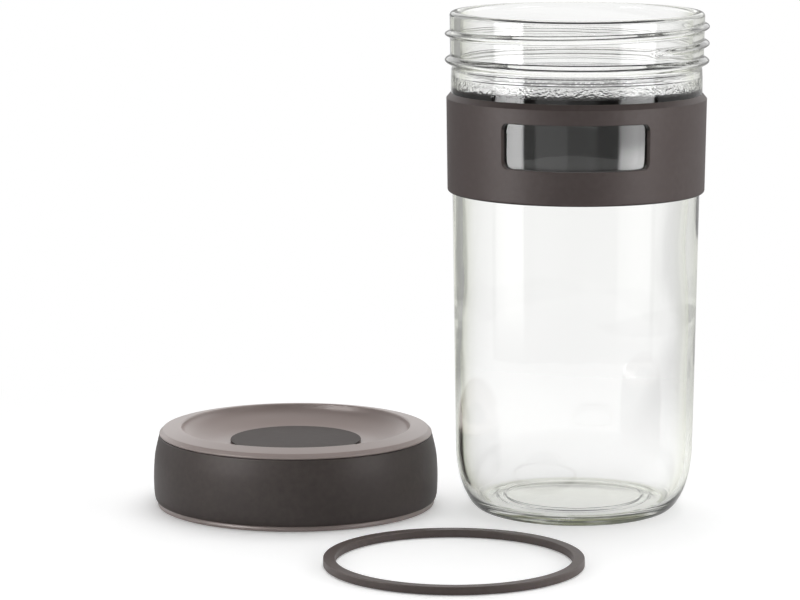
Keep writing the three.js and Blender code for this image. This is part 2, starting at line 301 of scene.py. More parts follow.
# %% Start the glass, with its cast
glass, tree, shader, point, output = material(
    "soda_lime_glass", Base_Color=WHITE, Roughness=0.0, IOR=1.52, Transmission_Weight=1.0,
)
tint = add(tree, "ShaderNodeVolumeAbsorption", Color=colour("#e3e9d2"), Density=10.0)
tree.links.new(tint.outputs[0], output.inputs["Volume"])
edge_on = add(tree, "ShaderNodeLayerWeight", Blend=0.35).outputs["Facing"]
cast = add(tree, MIX, None, add(tree, STEP, SOFT, edge_on, 0.3, 0.9), WHITE, colour("#e5e9ce"))
print("glass: index", round(shader.inputs["IOR"].default_value, 2))

# %% [markdown]
# Painted shade and mould marks sit at certain heights and distances from the jar's axis, so both are
# worked out from the surface point. A mask in an image would do the same, but it would need that image.
# On the front half of the heel's outside the glass is painted a darker dull green in fine level
# streaks, and two thin dark lines are painted low on it: painted shade, standing in for the dark
# reflections inside the thick base. The streaks are noise that is drawn out level: 16 mm long and 1.3 mm
# high.

# %% Paint shade on the heel's front, in streaks and two dark lines
place = add(tree, "ShaderNodeSeparateXYZ", None, add(tree, VECTOR, MINUS, point, jar_place)).outputs
height = place["Z"]
squares = [add(tree, MATH, TIMES, place[axis], place[axis]) for axis in ("X", "Y")]
from_axis = add(tree, MATH, {"operation": "SQRT"}, add(tree, MATH, PLUS, *squares))


def near_any(tree, value, middles, full, gone):
    """One where the value is within full of any of the middles, easing to zero at gone from it."""
    drawn = 0.0
    for middle in middles:
        away = add(tree, MATH, {"operation": "ABSOLUTE"}, add(tree, MATH, MINUS, value, middle))
        drawn = add(tree, MATH, LARGER, drawn, add(tree, STEP, SOFT, away, full, gone, 1.0, 0.0))
    return drawn


STREAK_LENGTH, STREAK_HEIGHT = 16 * MM, 1.3 * MM
per_streak = (1 / STREAK_LENGTH, 1 / STREAK_LENGTH, 1 / STREAK_HEIGHT)
streak_noise = add(tree, NOISE, None, add(tree, VECTOR, TIMES, point, per_streak), Scale=1.0, Detail=3.0)
# The painted shade goes only on the outside of the heel's front half.
inward_face = add(tree, "ShaderNodeNewGeometry").outputs["Backfacing"]
entering = add(tree, MATH, MINUS, 1.0, inward_face)
front_side = add(tree, STEP, SOFT, place["Y"], -12 * MM, 12 * MM, 1.0, 0.0)
front_outside = add(tree, MATH, TIMES, entering, front_side)
heel = add(tree, MATH, TIMES, front_outside, add(tree, STEP, SOFT, from_axis, 33.6 * MM, 34.4 * MM))
stand = add(tree, MATH, TIMES, heel, add(tree, STEP, SOFT, height, 3.6 * MM, 5.2 * MM, 1.0, 0.0))
# Painted shade: darker dull green streaks on the front of the heel.
streak_mask = add(tree, MATH, TIMES, add(tree, STEP, SOFT, streak_noise, 0.42, 0.54), stand)
streak_shaded = add(tree, MIX, None, streak_mask, cast, colour("#7c7f5e"))
# Painted shade: two thin dark lines low on the front of the heel.
dark_line_heights = (2.3 * MM, 4.4 * MM)
line_mask = near_any(tree, height, dark_line_heights, 0.2 * MM, 0.5 * MM)
broken = add(tree, MATH, TIMES, heel, add(tree, STEP, SOFT, streak_noise, 0.36, 0.5))
dark_lined = add(tree, MIX, None, add(tree, MATH, TIMES, line_mask, broken), streak_shaded, colour("#34372a"))
tree.links.new(dark_lined.outputs[0], shader.inputs["Base Color"])
# The heights shown are those of the painted dark lines.
print("glass: painted dark lines at heights", dark_line_heights)

# %% [markdown]
# Just under the finish the hot glass first met the cold mould, and its surface stayed rippled there,
# about 2 mm from crest to crest. Lower down the blown wall is only very slightly uneven, in waves of
# a few centimetres, and the base plate left two fine rings in the pushed-up base. All three are
# shallower than a quarter of a millimetre, too fine for the grid of points to hold, so they are
# bumps, which only turn the surface's normal.

# %% Ripples, waves and rings
RIPPLE_WIDTH, RIPPLE_HEIGHT = 2.2 * MM, 1.4 * MM
WAVE_WIDTH, WAVE_HEIGHT = 20 * MM, 45 * MM
ripple_low, ripple_high = jar_height - 30 * MM, jar_height - 23.6 * MM
zone = add(
    tree, MATH, TIMES, add(tree, STEP, SOFT, height, ripple_low, ripple_low + 2.5 * MM),
    add(tree, STEP, SOFT, height, ripple_high - 2 * MM, ripple_high, 1.0, 0.0),
)
per_ripple = (1 / RIPPLE_WIDTH, 1 / RIPPLE_WIDTH, 1 / RIPPLE_HEIGHT)
mould_ripple = add(
    tree, NOISE, None, add(tree, VECTOR, TIMES, point, per_ripple), Scale=1.0, Detail=2.0, Distortion=0.8,
)
rippled = add(tree, BUMP, Strength=zone, Distance=0.24 * MM, Height=mould_ripple)
per_wave = (1 / WAVE_WIDTH, 1 / WAVE_WIDTH, 1 / WAVE_HEIGHT)
wave = add(tree, NOISE, None, add(tree, VECTOR, TIMES, point, per_wave), Scale=1.0, Detail=2.0)
less_low = add(tree, STEP, SOFT, height, 6 * MM, 24 * MM, 0.06, 0.3)
uneven = add(tree, BUMP, Strength=less_low, Distance=0.4 * MM, Height=wave, Normal=rippled)
ring_radii = (26.2 * MM, 28.9 * MM)
rings = near_any(tree, from_axis, ring_radii, 0.1 * MM, 0.8 * MM)
only_low = add(tree, STEP, SOFT, height, 7 * MM, 8 * MM, 1.0, 0.0)
ringed = add(tree, BUMP, Strength=only_low, Distance=0.1 * MM, Height=rings, Normal=uneven)
tree.links.new(ringed.outputs[0], shader.inputs["Normal"])
print("glass: mould ripples from", round(ripple_low, 4), "to", round(ripple_high, 4))

# %% [markdown]
# A path tracer sends its lamp rays straight at glass and stops them there, so a jar would cast the
# shadow of a tin. Light that is bent through the glass could be traced instead, but it takes very
# many samples. A Transparent shader stands in for those rays. It lets most of the light through
# where the wall faces it and less where the wall is seen edge on, as real glass does.

# %% Let the lamps through
ray = add(tree, "ShaderNodeLightPath")
lamp_ray = add(tree, MATH, LARGER, ray.outputs["Is Shadow Ray"], ray.outputs["Is Diffuse Ray"])
passed = add(tree, STEP, SOFT, edge_on, 0.4, 0.95, 0.91, 0.5)
clear = add(tree, "ShaderNodeBsdfTransparent", Color=passed)
either = add(tree, "ShaderNodeMixShader", None, lamp_ray, shader, clear)
tree.links.new(either.outputs[0], output.inputs["Surface"])
print("glass passes", *(round(passed.inputs[n].default_value, 2) for n in ("To Min", "To Max")))

# %% [markdown]
# ### Moulded silicone
#
# Silicone is a soft rubber with an index of about 1.41. Its moulds are finely blasted, so it looks
# matt, with a broad weak sheen. It also draws dust, which shows as faint paler patches. Band,
# sleeve, cap and ring are the same dark brown-grey, each a little different in the photograph, so
# one function makes all four. The band's inside, which faces the glass, is given a nearly black
# painted shade, which darkens what is seen of it through the glass. Its points are told apart by
# their normal, which faces the jar's axis. The blasted grain is finer than a pixel, and is drawn at 0.35
# mm so that it just shows.

# %% Make the silicones


def silicone(name, tone, dusty, roughness, grain=0.25, inner_shade=None, sheen=0.5):
    """Matt silicone: a tone mixed with a dustier one in soft patches, and a fine grain as bump.
    The argument for the inside is a painted shade: the tone given to the side that faces the glass. Sheen
    scales the reflection."""
    made, tree, shader, point, _ = material(
        name, Roughness=roughness, IOR=1.41, Specular_IOR_Level=sheen,
    )
    patch = add(tree, NOISE, None, point, Scale=1 / (22 * MM), Detail=3.0, Roughness=0.6)
    speck = add(tree, NOISE, None, point, Scale=1 / (2.2 * MM), Detail=2.0)
    amount = add(tree, STEP, None, add(tree, MATH, TIMES, patch, speck), 0.15, 0.45)
    shown = add(tree, MIX, None, amount, colour(tone), colour(dusty))
    # Painted shade: the side that faces the glass gets the nearly black tone.
    if inner_shade:
        outward = add(tree, VECTOR, MINUS, point, jar_place)
        normal = add(tree, "ShaderNodeNewGeometry").outputs["Normal"]
        along = add(tree, VECTOR, {"operation": "DOT_PRODUCT"}, outward, normal).outputs["Value"]
        inner = add(tree, MATH, {"operation": "LESS_THAN"}, along, -20 * MM)
        shown = add(tree, MIX, None, inner, shown, colour(inner_shade))
    tree.links.new(shown.outputs[0], shader.inputs["Base Color"])
    blasted = add(tree, NOISE, None, point, Scale=1 / (0.35 * MM), Detail=2.0)
    bump = add(tree, BUMP, Strength=grain, Distance=0.05 * MM, Height=blasted)
    tree.links.new(bump.outputs[0], shader.inputs["Normal"])
    print(f"{name}: roughness {roughness}")
    return made


# The band's nearly black inside is painted shade.
band_silicone = silicone("band_silicone", "#453b39", "#4a413f", 0.5, inner_shade="#0f0b0a")
sleeve_silicone = silicone("sleeve_silicone", "#3f3836", "#463f3c", 0.47, sheen=0.4)
cap_silicone = silicone("cap_silicone", "#453f3d", "#4d4745", 0.62, grain=0.4, sheen=0.3)
ring_silicone = silicone("ring_silicone", "#544a47", "#5a514e", 0.45)

# %% [markdown]
# ### Moulded polypropylene
#
# The lid is polypropylene, a waxy plastic with an index of 1.49. Its mould is satin, so highlights
# are soft. One tone and a grain of half a millimetre are enough, because a clean moulding has no
# pattern of its own.

# %% Make the plastic
plastic, tree, shader, point, _ = material(
    "satin_polypropylene", Base_Color=colour("#9d908c"), Roughness=0.34, IOR=1.49,
)
satin = add(tree, NOISE, None, point, Scale=1 / (0.5 * MM), Detail=2.0)
bump = add(tree, BUMP, Strength=0.12, Distance=0.05 * MM, Height=satin)
tree.links.new(bump.outputs[0], shader.inputs["Normal"])
print("plastic:", plastic.name)

# %% [markdown]
# ## The glass jar
#
# The outline starts at the axis under the base, goes out over the pushed-up base and the foot,
# round the heel, up the wall, over the finish and its rim, and down inside to the floor. The
# thread is not a separate piece of geometry: it is an extra radius, a half wave that climbs with
# the turn, so it melts into the wall as pressed glass does. A ridge swept along a helix and joined
# on would leave a sharp seam at its foot.

# %% Sizes of the jar
finish = dict(pitch=6.35, start_drop=12.7, start_turn=30 / 360, turns=446 / 360, width=4.1, depth=1.8)
bead = dict(drop=18.3, width=5.0, below_thread=0.05)
seam_ridges = dict(heights=(0.9, 1.9, 3.1), width=0.8, lift=0.12)
skin_depth = 1.2
finish_radius = thread_radius / MM - finish["depth"]
finish_foot_radius, neck_radius, heel_top_radius = (finish_radius - d for d in (0.4, 0.75, 2.8))
height_mm = jar_height / MM
neck_height, finish_foot_height = height_mm - 24.8, height_mm - 21.4
heel_height, heel_reach, foot_width, push_up = 26.0, 11.2, 2.8, 3.0
finish_wall, rim_round, heel_wall, floor_low = 4.2, 1.6, 2.4, 3.6
foot_outer = heel_top_radius - heel_reach
foot_inner = foot_outer - foot_width
print("finish radius", finish_radius, "heel top radius", heel_top_radius)

# %% [markdown]
# The functions below give that extra radius for a whole grid of points at once. A point counts as
# lying on a wall's outside when it is less than the skin depth under it, so one call can tell the
# outside, where the thread and the seams are, from the inside, which is only a little uneven.

# %% The thread as extra radius


def half_wave(across):
    """The cosine of a quarter turn times the distance: one in the middle, zero at one and beyond."""
    return np.cos(np.clip(across, -1, 1) * math.pi / 2)


def soft_max(a, b, blend=0.5 * MM):
    """The larger of two values, with a rounded foot where they cross: half of their sum plus the
    root of their difference squared and the blend squared."""
    return (a + b + np.sqrt((a - b) ** 2 + blend ** 2)) / 2


def ridge(turn, height, bed, crest, rim, sizes, fade=0.07, sunk=0.1):
    """Radius of a thread ridge: the bed plus a lift times a half wave across the height from the
    helix. The lift grows in and dies away over the first and last part of a turn."""
    best = np.full(np.broadcast(turn, height).shape, bed)
    for winding in range(3):
        gone = turn / (2 * math.pi) + winding - sizes["start_turn"]
        inside = np.minimum(gone, sizes["turns"] - gone)
        grown = np.sin(np.clip(inside / fade, 0, 1) * math.pi / 2)
        lift = (crest - bed) * (sunk + (1 - sunk) * grown) * (inside > 0)
        middle = rim - sizes["start_drop"] * MM + gone * sizes["pitch"] * MM
        wave = bed + lift * half_wave((height - middle) / (sizes["width"] * MM / 2))
        best = np.where(abs(wave - bed) > abs(best - bed), wave, best)
    return best


print("thread climbs", round(finish["turns"] * finish["pitch"], 2), "mm")

# %% [markdown]
# The bead is the ridge under the thread by which the hot jar was carried from its first mould to its
# second. Two smaller things are part of the same extra radius: the seams that the base plate left
# low on the heel, and the slow waves of the inside, which the mould never touched. All of them are
# formulas in height and turn, so they can be changed without moving a point by hand.

# %% The bead, the seams and the uneven wall


def jar_finish(turn, radius, height):
    """Extra radius of the jar: thread and transfer bead on the outside of the finish, seam ridges
    on the heel, and the uneven inside."""
    bed = (finish_foot_radius - finish_wall / 2) * MM
    thread = ridge(turn, height, bed, thread_radius, jar_height, finish)
    off_middle = height - (jar_height - bead["drop"] * MM)
    crest = thread_radius - bead["below_thread"] * MM
    round_bead = bed + (crest - bed) * half_wave(off_middle / (bead["width"] / 2 * MM))
    outside = radius > (finish_radius - skin_depth) * MM
    near = (height > (finish_foot_height + 0.2) * MM) & (height < jar_height - 1.3 * MM)
    proud = soft_max(soft_max(thread, round_bead), radius + 0 * turn) - radius
    sink = soft_max(np.full_like(proud, bed), radius + 0 * turn) - radius
    finish_extra = np.where(outside & near, np.minimum(proud - sink, thread_radius - radius), 0)
    return finish_extra + blown_wall(turn, radius, height) + base_seams(turn, radius, height)


def base_seams(turn, radius, height):
    """Extra radius low on the heel, where the base plate of the mould met its sides: three fine
    ridges, each a half wave."""
    low = (height < 5 * MM) & (height > 0.3 * MM) & (radius > heel_line(height) - skin_depth * MM)
    half_width = seam_ridges["width"] / 2 * MM
    ridges = sum(half_wave((height - middle * MM) / half_width) for middle in seam_ridges["heights"])
    return np.where(low, seam_ridges["lift"] * MM * ridges + 0 * turn, 0)


def heel_line(height):
    """Radius of the heel's outside at a height: a quarter of an ellipse above the foot."""
    share = np.clip(height / (heel_height * MM), 0, 1)
    return (foot_outer + heel_reach * np.sqrt(share * (2 - share))) * MM


def wall_radius(height):
    """Radius of the glass wall's outside, in millimetres, between the heel and the neck."""
    return np.interp(height, (heel_height, neck_height), (heel_top_radius, neck_radius))


def blown_wall(turn, radius, height):
    """Extra radius of the inside: blowing leaves the wall thicker here and thinner there, as two
    slow waves of 0.13 and 0.09 mm round the jar that drift with the height."""
    up = height / (70 * MM) * 2 * math.pi
    wave = 0.13 * np.sin(2 * turn + 0.9 + 0.8 * np.sin(up)) + 0.09 * np.sin(3 * turn - up * 1.3)
    share = np.clip((height / MM - 30) / (neck_height - 34), 0, 1)
    inside = radius < (wall_radius(height / MM) - skin_depth) * MM
    return np.where(inside, wave * np.sin(share * math.pi) * MM, 0)


print("wall radius half way up", round(float(wall_radius(height_mm / 2)), 2), "mm")

# %% [markdown]
# The outside is put together from stretches: the dome of the base, the quarter ellipse of the heel,
# the leaning wall, a few fine steps where the blown body meets the pressed neck, the finish and its
# rounded rim. Each stretch is a formula or a row of rounded corners, so every length in it is a real
# one. The finish has many rows, because the thread has to find points to lift.

# %% The outside of the jar
mouth_radius = finish_radius - finish_wall
rim_height = height_mm - rim_round
finish_rows = np.linspace(finish_foot_height, rim_height, 84)[1:-1]
finish_side = np.interp(finish_rows, (finish_foot_height, height_mm), (finish_foot_radius, finish_radius))
step_depth, step_half, step_edge = 0.09, 0.15, 0.05
step_rises_and_sizes = [(0.8, 1.0), (1.8, 0.6), (3.3, 1.2), (4.9, 0.6)]
neck_start, shrunk = neck_radius + 0.1, 0.0
neck_steps = [(neck_start, neck_height - 6, 0)]
for rise, size in step_rises_and_sizes:
    neck_steps.append((neck_start - shrunk, neck_height + rise - step_half, step_edge))
    shrunk = shrunk + step_depth * size
    neck_steps.append((neck_start - shrunk, neck_height + rise + step_half, step_edge))
neck_steps.append((neck_start - shrunk, neck_height + 5.2, 0))
dome_share = np.linspace(0, 1, 24)[:-1]
dome = push_up * (0.7 * (1 - dome_share ** 2) + 0.3 * np.sqrt(1 - dome_share ** 8))
outside = [
    np.stack([foot_inner * dome_share, dome], axis=1) * MM,
    arc(foot_outer, heel_height, heel_reach, heel_height, -90, -55, 32),
    arc(foot_outer, heel_height, heel_reach, heel_height, -54, 0, 22),
    np.linspace((heel_top_radius, heel_height + 1), (neck_radius, neck_height - 7), 24) * MM,
    rounded(neck_steps, closed=False),
    np.stack([finish_side, finish_rows], axis=1)[8:] * MM,
    arc(finish_radius - rim_round, rim_height, rim_round, rim_round, 0, 90, 10),
]
print("outside:", sum(len(stretch) for stretch in outside), "points, neck steps", round(shrunk, 3), "mm")

# %% [markdown]
# The inside is not parallel to the outside. The finish is thick. Below it the wall thins over a few
# millimetres, where the blown body starts, then keeps its thickness behind the band and gets thin
# towards the heel. That short wedge bends the view up over the band behind it, so the glass above
# the band looks white. Round the heel the inside follows the outside, and it rises over the pushed
# up base. Each pair below says how far under the rim, and how far inside the finish, the wall is.

# %% The inside of the jar
inner_knots = np.array([
    (0.5 + rim_round, 4.2), (17, 4.2), (20.2, 4.2), (21.8, 4.14), (23, 4.02), (24.3, 3.82), (25.6, 3.61),
    (27, 3.4), (28.4, 3.3), (30.5, 3.7), (35, 4.3), (61, 5.0), (86, 5.44), (106, 5.34), (123, 4.66),
    (146, 4.88), (height_mm - heel_height, heel_wall + 2.8),
])
inner_drop, inner_step = smooth_curve(inner_knots, 5).T
inside = [
    arc(mouth_radius + rim_round, rim_height, rim_round, rim_round, 90, 180, 10),
    np.stack([finish_radius - inner_step, height_mm - inner_drop], axis=1) * MM,
    arc(foot_outer, heel_height, heel_reach - heel_wall, heel_height - floor_low, 0, -84, 30)[1:],
    np.stack([foot_inner * dome_share, floor_low + dome * 0.9], axis=1)[::-1] * MM,
]
glass_jar = revolved(
    "glass_jar_surface", np.concatenate(outside + inside), jar_place, 256, False, jar_finish,
)
glass_jar.data.materials.append(glass)
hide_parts("glass_jar")
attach(glass_jar, "jar")

# %% [markdown]
# ## The marker band
#
# The band is a thin-walled ring with one window. A ring is easy to revolve, but a hole isn't, so
# its surface is laid out in two parts: one patch whose grid lines run round the window like the
# rings of a target, and the rest, which is plain. Both use the same points along their borders, so
# they close up when they are merged.

# %% Sizes of the band
band_outer, band_low, band_high = (v / MM for v in span_of("marker_band"))
band_thickness, band_gap, model_gap, band_chamfer, band_corner = 1.65, 0.05, 0.3, 2.1, 1.5
window = dict(width=58.2, height=16.7, corner=2.6, sill=13.1, sag=0.4, turn=-3.1 / 360, lip=0.3)
patch_margin, edge_margin = 7, 0.5


def band_inner(height):
    """The band's inside follows the leaning glass, its gap away from it."""
    return wall_radius(height) + band_gap


def band_skin(height):
    """The band's outside lies its thickness and the model's gap away from the glass."""
    return wall_radius(height) + model_gap + band_thickness


print("band from", round(band_low, 2), "to", round(band_high, 2), "mm")

# %% [markdown]
# The patch is worked out flat, as a length along the band and a height, and is then bent round the
# jar. Cutting the window with a boolean would be quicker to write, but it leaves long thin faces at
# the corners, and a rounded lip could not be laid round it.

# %% Places on the band


def on_band(arc_length, height, radius):
    """Points at a length along the band's outside from the window's middle, a height and a radius.
    The turn is the length divided by the band's radius."""
    turn = arc_length / band_outer + window["turn"] * 2 * math.pi
    return np.stack([radius * np.sin(turn), -radius * np.cos(turn), height + 0 * turn], axis=-1) * MM


def window_side(share, half, corner):
    """Place along a side of a rounded rectangle and the distance it is drawn in from the side: the
    first and last eighth of the way round it are half of a corner's arc, the rest is straight."""
    bend = 0.125
    angle = np.clip(np.where(share < 0.5, bend - share, share - 1 + bend) / bend, 0, 1) * math.pi / 4
    straight = np.interp(share, (bend, 1 - bend), (corner - half, half - corner))
    along = straight + np.sign(share - 0.5) * corner * np.sin(angle)
    return along, corner * (1 - np.cos(angle))


print("window from", on_band(-window["width"] / 2, 0, band_outer).round(4)[:2], "beside the jar's axis")

# %% [markdown]
# On the outside the patch runs from its border to the window's lip and over the lip's quarter
# circle, then through the wall, and back over the inside to the border. Eight rings are enough for
# the outside, because it is nearly flat between them. They crowd towards the window, where the light
# would show every dent.

# %% The patch round the window


def band_patch(columns=72, rows=28):
    """The patch with the window. Going round the ring, each of its points has a partner on the
    patch's border, and going across, the surface runs from the border over the outside to the
    window, through the wall and back over the inside."""
    half_w, half_h = window["width"] / 2, window["height"] / 2
    middle = band_low + window["sill"] + half_h
    edge_w, edge_low = half_w + patch_margin, band_low + band_corner + edge_margin
    edge_high = band_high - band_chamfer - edge_margin
    rightward = np.linspace(0, 1, columns, endpoint=False)
    upward = np.linspace(0, 1, rows, endpoint=False)
    sill_along, sill_in = window_side(rightward, half_w, window["corner"])
    jamb_along, jamb_in = window_side(upward, half_h, window["corner"])
    hole = np.concatenate([
        np.stack([sill_along, sill_in - half_h], 1), np.stack([half_w - jamb_in, jamb_along], 1),
        np.stack([-sill_along, half_h - sill_in], 1), np.stack([jamb_in - half_w, -jamb_along], 1),
    ])
    wide = (2 * rightward - 1) * edge_w
    tall = edge_low + upward * (edge_high - edge_low)
    low, high = np.full_like(wide, edge_low), np.full_like(wide, edge_high)
    side = np.full_like(tall, edge_w)
    border = np.concatenate([
        np.stack([wide, low], 1), np.stack([side, tall], 1),
        np.stack([-wide, high], 1), np.stack([-side, edge_low + edge_high - tall], 1),
    ])
    hole = hole + (0, middle)
    hole[:, 1] -= window["sag"] * (1 - (hole[:, 0] / half_w) ** 2) * (hole[:, 1] < middle)
    lip = window["lip"]
    out = hole - (0, middle)
    grown = out * ((half_w + lip) / half_w, (half_h + lip) / half_h) + (0, middle)
    rings = []
    for share in (0, 0.25, 0.5, 0.7, 0.85, 0.94, 0.98, 1):
        flat = border * (1 - share) + grown * share
        rings.append((flat, band_skin(flat[:, 1])))
    for angle in np.radians((20, 45, 70, 90)):
        flat = grown + (hole - grown) * math.sin(angle)
        rings.append((flat, band_skin(flat[:, 1]) - lip * (1 - math.cos(angle))))
    for share in (0.15, 0.85, 1):
        top = band_skin(hole[:, 1]) - lip
        rings.append((hole, top + (band_inner(hole[:, 1]) - top) * share))
    for share in (0.9, 0.5, 0):
        flat = border * (1 - share) + hole * share
        rings.append((flat, band_inner(flat[:, 1])))
    grid = np.stack([on_band(flat[:, 0], flat[:, 1], radius) for flat, radius in rings])
    faces = quads(len(rings), grid.shape[1], False, True)
    return grid.reshape(-1, 3), faces, wide, tall, edge_w, edge_low, edge_high


print("patch:", len(band_patch()[1]), "faces")

# %% [markdown]
# The rest of the band has no window, so its grids are plain: the outside and the inside beside the
# patch, and the two edges all the way round, sloped off at the top and rounded at the bottom.

# %% Make the band


def band_surface():
    """The patch, the rest of the outside and inside at the patch's height, and the two edges."""
    patch, faces, wide, tall, edge_w, edge_low, edge_high = band_patch()
    loop = 2 * math.pi * band_outer
    rest = np.linspace(edge_w, loop - edge_w, 150)
    tall = np.append(tall, edge_high)
    around = np.concatenate([np.append(wide, edge_w), rest[1:]])
    points, parts = [patch], [faces]
    count = len(patch)

    def lay(heights, radii, lengths):
        """Adds a grid of points at these heights and radii, along these lengths."""
        nonlocal count
        grid = on_band(lengths[None], heights[:, None], radii[:, None])
        points.append(grid.reshape(-1, 3))
        parts.append(quads(*grid.shape[:2], first=count))
        count += grid.shape[0] * grid.shape[1]

    lay(tall, band_skin(tall), rest)
    lay(tall[::-1], band_inner(tall[::-1]), rest)
    top = rounded([
        (band_skin(edge_high), edge_high, 0), (band_skin(band_high), band_high - band_chamfer, 0.35),
        (band_inner(band_high) + 0.15, band_high, 0.15), (band_inner(band_high), band_high - 0.3, 0.1),
        (band_inner(edge_high), edge_high, 0),
    ], closed=False) / MM
    low = rounded([
        (band_inner(edge_low), edge_low, 0), (band_inner(band_low), band_low, 0.2),
        (band_skin(band_low), band_low, band_corner), (band_skin(edge_low), edge_low, 0),
    ], closed=False) / MM
    lay(top[:, 1], top[:, 0], around)
    lay(low[:, 1], low[:, 0], around)
    return np.concatenate(points), np.concatenate(parts)


band_points, band_faces = band_surface()
marker_band = mesh_object("marker_band_skin", band_points + jar_place, band_faces, 1e-6)
marker_band.data.materials.append(band_silicone)
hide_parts("marker_band")
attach(marker_band, "band")

# %% [markdown]
# ## The lid
#
# The lid's shell is one moulding: foot flange, skirt, shoulder and dish, with a groove for the
# sealing ring underneath. Its outline repeats the CAD's, with a small rounding on every edge, and
# the side of the dish is a little fuller than a quarter of an ellipse. One closed outline is used
# and not several joined rings, because the moulding has no joints in it either. The inside thread is
# again an extra radius, this time negative, because the ridge points inwards.

# %% Sizes of the lid
lid_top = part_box("lid_shell")[1].z / MM
sleeve_radius = span_of("lid_grip_sleeve")[0] / MM
skirt_inner = thread_radius / MM + 0.5
skirt_outer = skirt_inner + 1.4
flange = skirt_outer + 0.7
foot_flange, edge_height, chamfer, lid_wall = 1.9, lid_top - 2.45, 1.3, 1.8
foot = skirt_outer + 1.6
dish_radius, dish_reach, dish_depth, dish_fullness = flange - 8.5, 13.1, 6.4, 2.2
dish_floor_radius, dish_floor = dish_radius - dish_reach, lid_top - dish_depth
seat, roof, stem_hole = lid_top - 5.35, lid_top - 3.55, 2.6
ring_outer, _, ring_height = (v / MM for v in span_of("sealing_ring"))
ring_inner = ring_outer - 4.25
groove_in, groove_out = ring_inner - 0.4, ring_outer + 0.4
plug_in, plug_low = groove_in - 1.8, seat - 4
thread_rows = np.linspace(16.5, 4.0, 52)
print("dish floor at", round(dish_floor, 2), "groove", round(groove_in, 2), "to", round(groove_out, 2))

# %% [markdown]
# The side of the dish is a superellipse: its drop is the depth times (1 - share to the power of the
# fullness) to the power of one over the fullness, where a fullness of 2 would give an ellipse. The
# underside runs parallel to it. The corners then follow one another round the whole section, from
# the stem hole down the inside, round the foot, up the outside and back over the dish.

# %% Make the lid's shell
under = dish_reach + lid_wall
plug_angle = math.degrees(math.acos((plug_in - dish_floor_radius) / under))
under_dish = arc(dish_floor_radius, lid_top, under, dish_depth + lid_wall, -90, -plug_angle, 12) / MM
dish_share = np.cos(np.radians(np.linspace(8, 90, 26)))
dish_drop = dish_depth * (1 - dish_share ** dish_fullness) ** (1 / dish_fullness)
dish = np.stack([dish_floor_radius + dish_reach * dish_share, lid_top - dish_drop], axis=1)
sleeve_bed = edge_height - 0.5
shell_corners = [
    (stem_hole, dish_floor - lid_wall, 0.2), *((r, z, 0) for r, z in under_dish[1:-1]),
    (plug_in, under_dish[-1, 1], 0.3), (plug_in, plug_low, 0.4), (groove_in, plug_low, 0.4),
    (groove_in, seat, 0.3), (groove_out, seat, 0.3), (groove_out, seat - 1.6, 0.3),
    (groove_out + 1.2, seat - 1.6, 0.3), (groove_out + 1.2, roof, 0.4), (skirt_inner, roof, 0.5),
    *((skirt_inner, z, 0) for z in thread_rows),
    (skirt_inner, 0.6, 0.2), (skirt_inner + 0.6, 0, 0.2), (foot, 0, 0.3), (foot, 0.9, 0.4),
    (foot - 0.5, foot_flange, 0.2), (skirt_outer, foot_flange, 0.2),
    (skirt_outer, sleeve_bed, 0.2), (flange, sleeve_bed, 0.15),
    (flange, edge_height, 0.3), (flange - chamfer, edge_height + chamfer, 0.5),
    (dish_radius + 0.55, lid_top, 0.5), (dish_radius + 0.05, lid_top - 0.35, 0.3),
    *((r, z, 0) for r, z in dish), (stem_hole, dish_floor, 0.2),
]
lid_start_drop = ring_height + finish["start_drop"] + finish["pitch"] / 2
lid_thread = dict(finish, width=3.2, turns=1.3, start_drop=lid_start_drop)


def lid_finish(turn, radius, height):
    """Extra radius of the lid's inside thread, which is negative: it stands in from the skirt."""
    bed, crest = (skirt_inner + 0.7) * MM, (finish_radius + 0.5) * MM
    thread = ridge(turn, height, bed, crest, seat * MM, lid_thread)
    threaded = (height > (thread_rows[-1] - 1) * MM) & (height < (thread_rows[0] + 0.5) * MM)
    on_skirt = threaded & (abs(radius - skirt_inner * MM) < 0.05 * MM)
    return np.where(on_skirt, np.minimum(thread - radius, 0), 0)


lid_shell = revolved("lid_shell_surface", rounded(shell_corners), lid_place, 256, True, lid_finish)
lid_shell.data.materials.append(plastic)
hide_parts("lid_shell")
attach(lid_shell, "lid")

# %% [markdown]
# The grip sleeve is moulded round the skirt. It is fullest below its middle and drawn in towards
# both flanges, so its outside is one smooth curve through a few measured places. A plain cylinder
# with rounded edges would be easier, but the soft light on it would stand upright and not curve.
# Each pair below is a share of the sleeve's height and a share of how far it stands out.

# %% Make the grip sleeve
sleeve_low, sleeve_high, sleeve_inner = foot_flange + 0.15, sleeve_bed - 0.3, skirt_outer + 0.03
barrel_foot = skirt_outer + 0.8
barrel_shares = np.array([
    (0, 0.55), (0.03, 0.74), (0.1, 0.9), (0.2, 0.97), (0.35, 1), (0.52, 0.94), (0.7, 0.76), (0.85, 0.42),
    (1, 0),
])
barrel = smooth_curve(barrel_shares, 8)
barrel_radius = barrel_foot + (sleeve_radius - barrel_foot) * barrel[:, 1]
barrel_height = sleeve_low + (sleeve_high - sleeve_low) * barrel[:, 0]
sleeve_corners = [
    (sleeve_inner, sleeve_low, 0.1), *zip(barrel_radius, barrel_height, 0 * barrel_radius),
    (sleeve_inner, sleeve_high, 0.1),
]
grip_sleeve = revolved("grip_sleeve_skin", rounded(sleeve_corners), lid_place)
grip_sleeve.data.materials.append(sleeve_silicone)
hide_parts("lid_grip_sleeve")
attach(grip_sleeve, "lid")

# %% [markdown]
# The vent cap lies over the vent holes like a mushroom's cap. Its rim is rounded and stands a hair
# above the dish, which draws a fine dark line under it, and its top is very slightly domed. Below
# the dish a stem goes down to a bulb, which keeps the cap on. A flattened sphere would do for what is
# seen, but the outline makes cap, stem and bulb one piece, as they are moulded.

